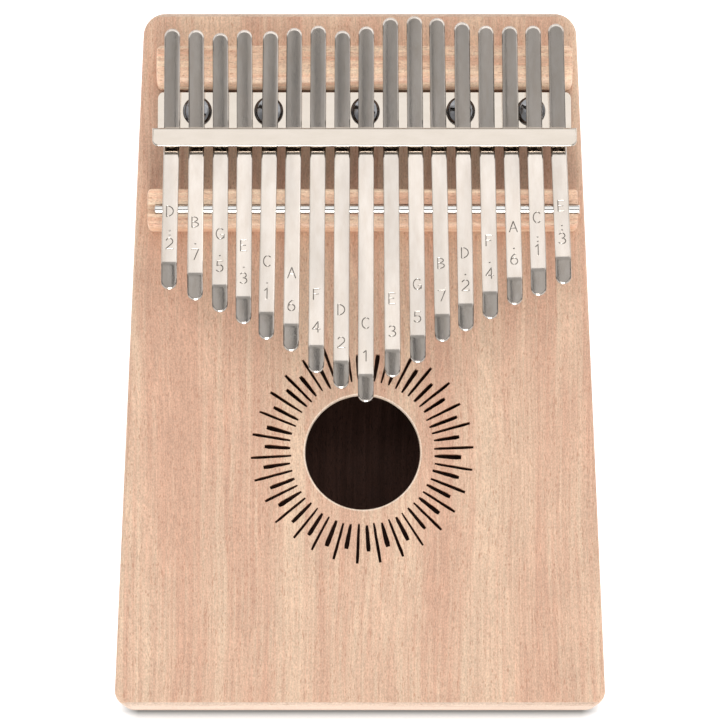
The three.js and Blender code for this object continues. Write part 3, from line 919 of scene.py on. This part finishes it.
class Tine:
    """One bent steel strip: where it lies, from its CAD nodes and joints, and its side view."""

    def __init__(self, number):
        self.name = f"tine_{number:02d}"
        pluck = next(joint for joint in frame["joints"] if joint["name"] == self.name + "_pluck")
        self.anchor = Vector(pluck["pos_m"]) / MM
        self.right = Vector(pluck["axis"]).normalized()
        self.along = Vector((-self.right.y, self.right.x, 0))
        half = TINE_WIDTH / 2
        tail_y = box_mm(self.name + "_shank")[1].y
        tip_y = box_mm(self.name + "_tongue")[0].y
        self.tail = ROD_Y + (tail_y - half - self.anchor.y) / self.along.y + half
        self.tip = ROD_Y - (self.anchor.y - tip_y - half) / self.along.y - half
        self.bend_y = self.tip + TIP_LENGTH
        self.path = self.side_view()

    def side_view(self):
        """The underside from the tip to the tuning end, as points (y, height)."""
        degree = math.pi / 180
        low = (TINE_LOW_Y, BOARD_TOP + TINE_LOW_HEIGHT)
        rear_bend = PRESS_BEND * math.sin(TUNING_SLOPE * degree)
        front_bend = PRESS_BEND * math.sin(PRESSED_SLOPE * degree)
        tip_bend = TIP_BEND * math.sin((PLAYING_SLOPE - TIP_SLOPE) * degree)
        rear = walk(low, 1, [
            (rear_bend, TUNING_SLOPE),
            (self.tail - TINE_LOW_Y - rear_bend, TUNING_SLOPE),
        ])
        front = walk(low, -1, [
            (front_bend, PRESSED_SLOPE),
            (TINE_LOW_Y - front_bend - EASE_START_Y, PRESSED_SLOPE),
            (EASE_START_Y - EASE_END_Y, PLAYING_SLOPE),
            (EASE_END_Y - self.bend_y, PLAYING_SLOPE),
            (tip_bend, TIP_SLOPE),
            (TIP_LENGTH - tip_bend, TIP_SLOPE),
        ])
        return front[::-1] + rear[1:]

    def edge_width(self, y):
        """The width of the strip's broken upper edge, which is wider round its two ends."""
        half = TINE_WIDTH / 2
        beyond = max(self.tip + half - y, y - self.tail + half, 0)
        return TINE_EDGE + (TINE_END_EDGE - TINE_EDGE) * min(beyond / half, 1)

    def at(self, y, x):
        """The row-frame place of a point y along the strip and x across it, before its height."""
        return self.anchor + self.right * x + self.along * (y - ROD_Y)

    def place(self, x, y, up):
        """A point x across, y along and up above the underside, square to the strip."""
        path = self.path
        i = 0
        while i < len(path) - 2 and path[i + 1][0] < y:
            i += 1
        (y0, z0), (y1, z1) = path[i], path[i + 1]
        share = (y - y0) / (y1 - y0)
        slope = self.slope(i) * (1 - share) + self.slope(i + 1) * share
        height = z0 + (z1 - z0) * share
        point = self.at(y - math.sin(slope) * up, x)
        return Vector((point.x, point.y, height + math.cos(slope) * up))

    def slope(self, i):
        """The strip's slope at a point of its path, in radians."""
        a = self.path[max(i - 1, 0)]
        b = self.path[min(i + 1, len(self.path) - 1)]
        return math.atan2(b[1] - a[1], b[0] - a[0])


def strip_outline(tine):
    """The strip seen flat: straight sides with a point at each step of its path, and round ends."""
    half = TINE_WIDTH / 2
    front, back = tine.tip + half, tine.tail - half
    spare = 0.2
    ys = [y for y, _ in tine.path if front + spare < y < back - spare]

    def round_end(middle, start):
        angles = [start + math.pi * i / TINE_END_STEPS for i in range(TINE_END_STEPS + 1)]
        return [Vector((half * math.cos(a), middle + half * math.sin(a))) for a in angles]

    right = [Vector((half, y)) for y in ys]
    left = [Vector((-half, y)) for y in reversed(ys)]
    return [*round_end(front, math.pi), *right, *round_end(back, 0), *left], ys


def arc(cx, cy, rx, ry, start, end, steps=8):
    """Part of an ellipse as a polyline, in degrees."""
    points = []
    for i in range(steps + 1):
        angle = math.radians(start + (end - start) * i / steps)
        points.append((cx + rx * math.cos(angle), cy + ry * math.sin(angle)))
    return points


# Plain single-stroke signs in a box 0.7 wide and 1 high, as a hand engraver cuts them.
GLYPH_MIDDLE = (0.36, 0.5)
GLYPHS = {
    "A": [[(0, 0), (0.35, 1), (0.7, 0)], [(0.13, 0.36), (0.57, 0.36)]],
    "B": [
        [(0.05, 0), (0.05, 1)],
        arc(0.05, 0.76, 0.5, 0.24, 90, -90),
        arc(0.05, 0.26, 0.58, 0.26, 90, -90),
    ],
    "C": [arc(0.38, 0.5, 0.36, 0.5, 48, 312, 12)],
    "D": [[(0.05, 0), (0.05, 1)], arc(0.05, 0.5, 0.6, 0.5, 90, -90, 10)],
    "E": [[(0.62, 0), (0.08, 0), (0.08, 1), (0.62, 1)], [(0.08, 0.52), (0.52, 0.52)]],
    "F": [[(0.08, 0), (0.08, 1), (0.64, 1)], [(0.08, 0.52), (0.52, 0.52)]],
    "G": [arc(0.38, 0.5, 0.36, 0.5, 48, 330, 12), [(0.42, 0.42), (0.72, 0.42), (0.7, 0.1)]],
    "1": [[(0.16, 0.8), (0.38, 1), (0.38, 0)]],
    "2": [arc(0.35, 0.7, 0.3, 0.3, 160, -30) + [(0.04, 0), (0.68, 0)]],
    "3": [arc(0.32, 0.76, 0.27, 0.24, 150, -90), arc(0.32, 0.26, 0.33, 0.26, 90, -150)],
    "4": [[(0.5, 0), (0.5, 1), (0.02, 0.3), (0.7, 0.3)]],
    "5": [[(0.62, 1), (0.14, 1), (0.1, 0.56)], arc(0.32, 0.32, 0.32, 0.32, 130, -150)],
    "6": [arc(0.36, 0.3, 0.31, 0.3, 0, 360, 12), arc(0.62, 0.3, 0.57, 0.7, 180, 100, 6)],
    "7": [[(0.02, 1), (0.66, 1), (0.26, 0)]],
}


def glyph_lines(sign, centre_y):
    """A sign's strokes as flat polylines in millimetres, its middle on the strip's own middle line."""
    middle_x, middle_y = GLYPH_MIDDLE
    lines = []
    for stroke in GLYPHS[sign]:
        across = [(x - middle_x) * MARK_SPREAD for x, _ in stroke]
        along = [centre_y + (y - middle_y) * MARK_HEIGHT for _, y in stroke]
        lines.append([Vector(point) for point in zip(across, along)])
    return lines


def dot_lines(count, centre_y):
    """The octave's dots, one behind another, as six-sided strokes about centre_y."""
    radius = DOT_RADIUS / 2
    angles = [math.pi / 3 * k for k in range(7)]
    lines = []
    for i in range(count):
        y = centre_y + (i - (count - 1) / 2) * DOT_PITCH
        lines.append([Vector((radius * math.cos(a), y + radius * math.sin(a))) for a in angles])
    return lines


def stroke_distance(point, lines):
    """How far a flat point is from the nearest stroke."""
    nearest = 1e9
    for line in lines:
        for a, b in zip(line, line[1:]):
            run = b - a
            share = min(max((point - a).dot(run) / max(run.length_squared, 1e-9), 0), 1)
            nearest = min(nearest, (point - a - run * share).length)
    return nearest


def stroke_borders(lines, half):
    """Closed outlines a given distance to each side of every stretch of the strokes."""
    borders = []
    for line in lines:
        for a, b in zip(line, line[1:]):
            run = (b - a).normalized()
            side = Vector((-run.y, run.x)) * half
            cap_a, cap_b = a - run * half * 0.8, b + run * half * 0.8
            borders.append([a + side, cap_a, a - side, b - side, cap_b, b + side, a + side])
    return borders


def build_tine(number):
    """One tine in one piece: a steel strip with broken edges, a slight crown and engraved marks."""
    tine = Tine(number)
    letter, dots, numeral = MARKS[number - 1]
    marks = glyph_lines(numeral, tine.bend_y + NUMERAL_BEHIND_BEND)
    marks += glyph_lines(letter, tine.bend_y + LETTER_BEHIND_BEND)
    marks += dot_lines(dots, tine.bend_y + DOTS_BEHIND_BEND)
    half = TINE_WIDTH / 2
    lean = random.Random(number).uniform(-TINE_LEAN, TINE_LEAN)
    first_y = tine.bend_y
    last_y = tine.bend_y + LETTER_BEHIND_BEND + MARK_HEIGHT

    def crown(x):
        return TINE_CROWN * (abs(x - lean) / half) ** 3

    def gap(point):
        return stroke_distance(point, marks) if first_y < point.y < last_y else MARK_WIDTH

    def face_mark(point):
        return DULL_MARK if gap(point) < MARK_WIDTH * MARK_DULL_SHARE else BRIGHT_MARK

    def place_top(point):
        depth = MARK_DEPTH * max((MARK_WIDTH / 2 - gap(point)) / (MARK_WIDTH / 2), 0)
        return tine.place(point.x, point.y, TINE_THICKNESS - crown(point.x) - depth)

    shell = Shell()
    outline, ys = strip_outline(tine)
    rings = []
    for up, inset in quarter_round(TINE_ROUND, 4):
        flat = offset_loop(outline, [inset] * len(outline))
        rings.append((shell.ring([tine.place(p.x, p.y, up) for p in flat]), flat))
    widths = [tine.edge_width(p.y) for p in outline]
    for inset, drop in BROKEN_EDGE:
        flat = offset_loop(outline, [w * inset for w in widths])
        points = []
        for p, w in zip(flat, widths):
            points.append(tine.place(p.x, p.y, TINE_THICKNESS - crown(p.x) - w * drop))
        rings.append((shell.ring(points), flat))
    shell.bands(rings)
    edge = half - TINE_EDGE * BROKEN_EDGE[-1][0]
    cross_lines = [[Vector((-edge, y)), Vector((edge, y))] for y in ys]
    long_lines = [[Vector((x, ys[0])), Vector((x, ys[-1]))] for x in FACE_LINES]
    borders = stroke_borders(marks, MARK_WIDTH / 2)
    shell.cap([rings[-1]], place_top, True, [*cross_lines, *long_lines, *borders, *marks], face_mark)
    shell.cap([rings[0]], lambda p: tine.place(p.x, p.y, 0), False, cross_lines, DULL_MARK)
    nodes = [tine.name + "_shank", tine.name + "_tongue"]
    obj = make_piece(tine.name, shell, TINE_STEELS, nodes, body=None, sharp=34)
    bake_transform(obj)
    return obj


# ---- stage ----

LIGHT_DISTANCE = 2.6
# the camera, in metres from the middle of the soundboard's top
CAMERA_BACK = 0.13812
CAMERA_HEIGHT = 1.19202
CAMERA_TILT = 6.564
CAMERA_LENS = 226.24


def build_floor():
    """White paper lit from below, with a soft shadow painted along the near end."""
    g = Graph("floor_paper")
    place = g.millimetres("Z")
    tooth = g.noise(g.stretched(place, 0.8, 0.8), 2.0)
    tone = g.mix(g.spread(tooth, 0.3, 0.7), colour(253, 253, 253), colour(255, 255, 255))
    across = g.maths(g.part(place, "X"), 0, "ABSOLUTE")
    along = g.part(place, "Y")
    # the painted shadow fades out in front of the end, past its two corners and under the box
    near = g.spread(along, -BOX_END - 4.5, -BOX_END - 0.3)
    beside = g.spread(across, TAIL_WIDTH / 2 + 2.5, TAIL_WIDTH / 2 - 5)
    under = g.spread(along, -BOX_END + 8, -BOX_END + 2)
    shadow = g.maths(g.maths(near, 1.8, "POWER"), beside, "MULTIPLY")
    shadow = g.maths(shadow, under, "MULTIPLY")
    # painted shadow: a grey mixed into the paper's colour, which also dims its glow
    tone = g.mix(shadow, tone, colour(120, 120, 118))
    material = g.finish(base_color=tone, roughness=0.9, emission_color=tone, emission_strength=0.5)
    half = 6.0
    mesh = bpy.data.meshes.new("floor")
    corners = [(-half, -half, 0), (half, -half, 0), (half, half, 0), (-half, half, 0)]
    mesh.from_pydata(corners, [], [(0, 1, 2, 3)])
    mesh.materials.append(material)
    floor = add_object("floor", mesh)
    gap = 0.0002
    floor.location.z = back_low.z * MM - gap


def softbox(name, azimuth, elevation, width, height, radiance):
    """A rectangular light that faces the object, in metres and degrees.

    Azimuth 0 is towards +Y, and 180 towards the player.
    """
    data = bpy.data.lights.new(name, "AREA")
    data.shape = "RECTANGLE"
    data.size = width
    data.size_y = height
    data.energy = radiance * width * height * math.pi
    light = add_object(name, data)
    a, e = math.radians(azimuth), math.radians(elevation)
    out = Vector((math.sin(a) * math.cos(e), math.cos(a) * math.cos(e), math.sin(e)))
    light.location = out * LIGHT_DISTANCE
    light.rotation_mode = "QUATERNION"
    light.rotation_quaternion = out.to_track_quat("Z", "Y")
    return light


def build_light():
    """A bright room on the tuning side, dimmer above the player, with one strong window in front.

    It gives back the overhead and front lights, which lift_shadows() lets shine past the tines.
    """
    g = Graph("studio", bpy.data.worlds)
    way = g.node("ShaderNodeTexCoord", {}, "Generated")
    ahead = g.part(way, "Y")
    up = g.part(way, "Z")
    # the far half of the room, the ceiling, and a low band behind the player, as the steel mirrors them
    room = g.maths(g.spread(ahead, -0.12, 0.1), g.spread(up, 0.12, 0.35), "MULTIPLY")
    room = g.maths(room, g.spread(up, 0.62, 0.74, 1.5, 0.8), "MULTIPLY")
    above = g.maths(g.spread(up, 0.84, 0.92, 0.3, 1.0), g.spread(ahead, -0.4, -0.2, 1.0, 0.72), "MULTIPLY")
    low = g.maths(g.spread(ahead, -0.45, -0.6, 0.0, 1.3), g.spread(up, 0.58, 0.48), "MULTIPLY")
    strength = g.maths(above, g.maths(room, low, "MAXIMUM"), "MAXIMUM")
    shade = g.node("ShaderNodeBackground", {"Strength": strength})
    made = g.tree.nodes.new("ShaderNodeOutputWorld")
    g.tree.links.new(shade, made.inputs["Surface"])
    bpy.context.scene.world = g.material
    overhead = softbox("overhead", 0, 66, 2.0, 2.0, 0.98)
    front = softbox("front", 180, 33, 0.8, 1.7, 8.6)
    softbox("left", -80, 52, 3.1, 1.3, 0.45)
    softbox("right", 80, 52, 3.1, 1.3, 0.85)
    return [overhead, front]


def lift_shadows(lights, pieces):
    """Lets the lights shine past some pieces, which then shade the wood only from the other light."""
    past = bpy.data.collections.new("lights_shine_past")
    for piece in pieces:
        past.objects.link(piece)
    for member in past.collection_objects:
        member.light_linking.link_state = "EXCLUDE"
    for light in lights:
        light.light_linking.blocker_collection = past


def build_boom():
    """The dark camera stand overhead, which the bright steel mirrors as narrow streaks."""
    g = Graph("stand_black")
    worn = g.noise(g.stretched(g.millimetres("Y"), 20, 60))
    material = g.finish(base_color=g.mix(worn, colour(14, 14, 15), colour(30, 30, 31)), roughness=0.7)
    height = 2.4
    outline = [
        (-0.08, -0.37), (-0.08, -0.48), (-0.06, -0.8), (-0.06, -1.15), (0.06, -1.15), (0.06, -0.8),
        (-0.01, -0.48), (-0.01, -0.37),
    ]
    mesh = bpy.data.meshes.new("camera_stand")
    mesh.from_pydata([(x, y, height) for x, y in outline], [], [tuple(range(len(outline)))])
    mesh.materials.append(material)
    add_object("camera_stand", mesh)


def build_camera():
    data = bpy.data.cameras.new("camera")
    data.sensor_width = 36
    data.lens = CAMERA_LENS
    data.clip_start = 0.05
    data.clip_end = 20
    camera = add_object("camera", data)
    camera.location = (0, -CAMERA_BACK, BOARD_TOP * MM + CAMERA_HEIGHT)
    camera.rotation_euler = (math.radians(CAMERA_TILT), 0, 0)
    bpy.context.scene.camera = camera
    bpy.context.scene.view_settings.view_transform = "Standard"


build_camera()
window_lights = build_light()
build_boom()
build_floor()
build_soundboard()
build_back()
build_walls()
build_bridges()
build_rod()
build_bracket()
build_screws()
tines = [build_tine(number) for number in range(1, TINE_COUNT + 1)]
lift_shadows(window_lights, tines)

block = frame["nodes"]["screw_block"]
block.data.materials.clear()
block.data.materials.append(BLOCK)
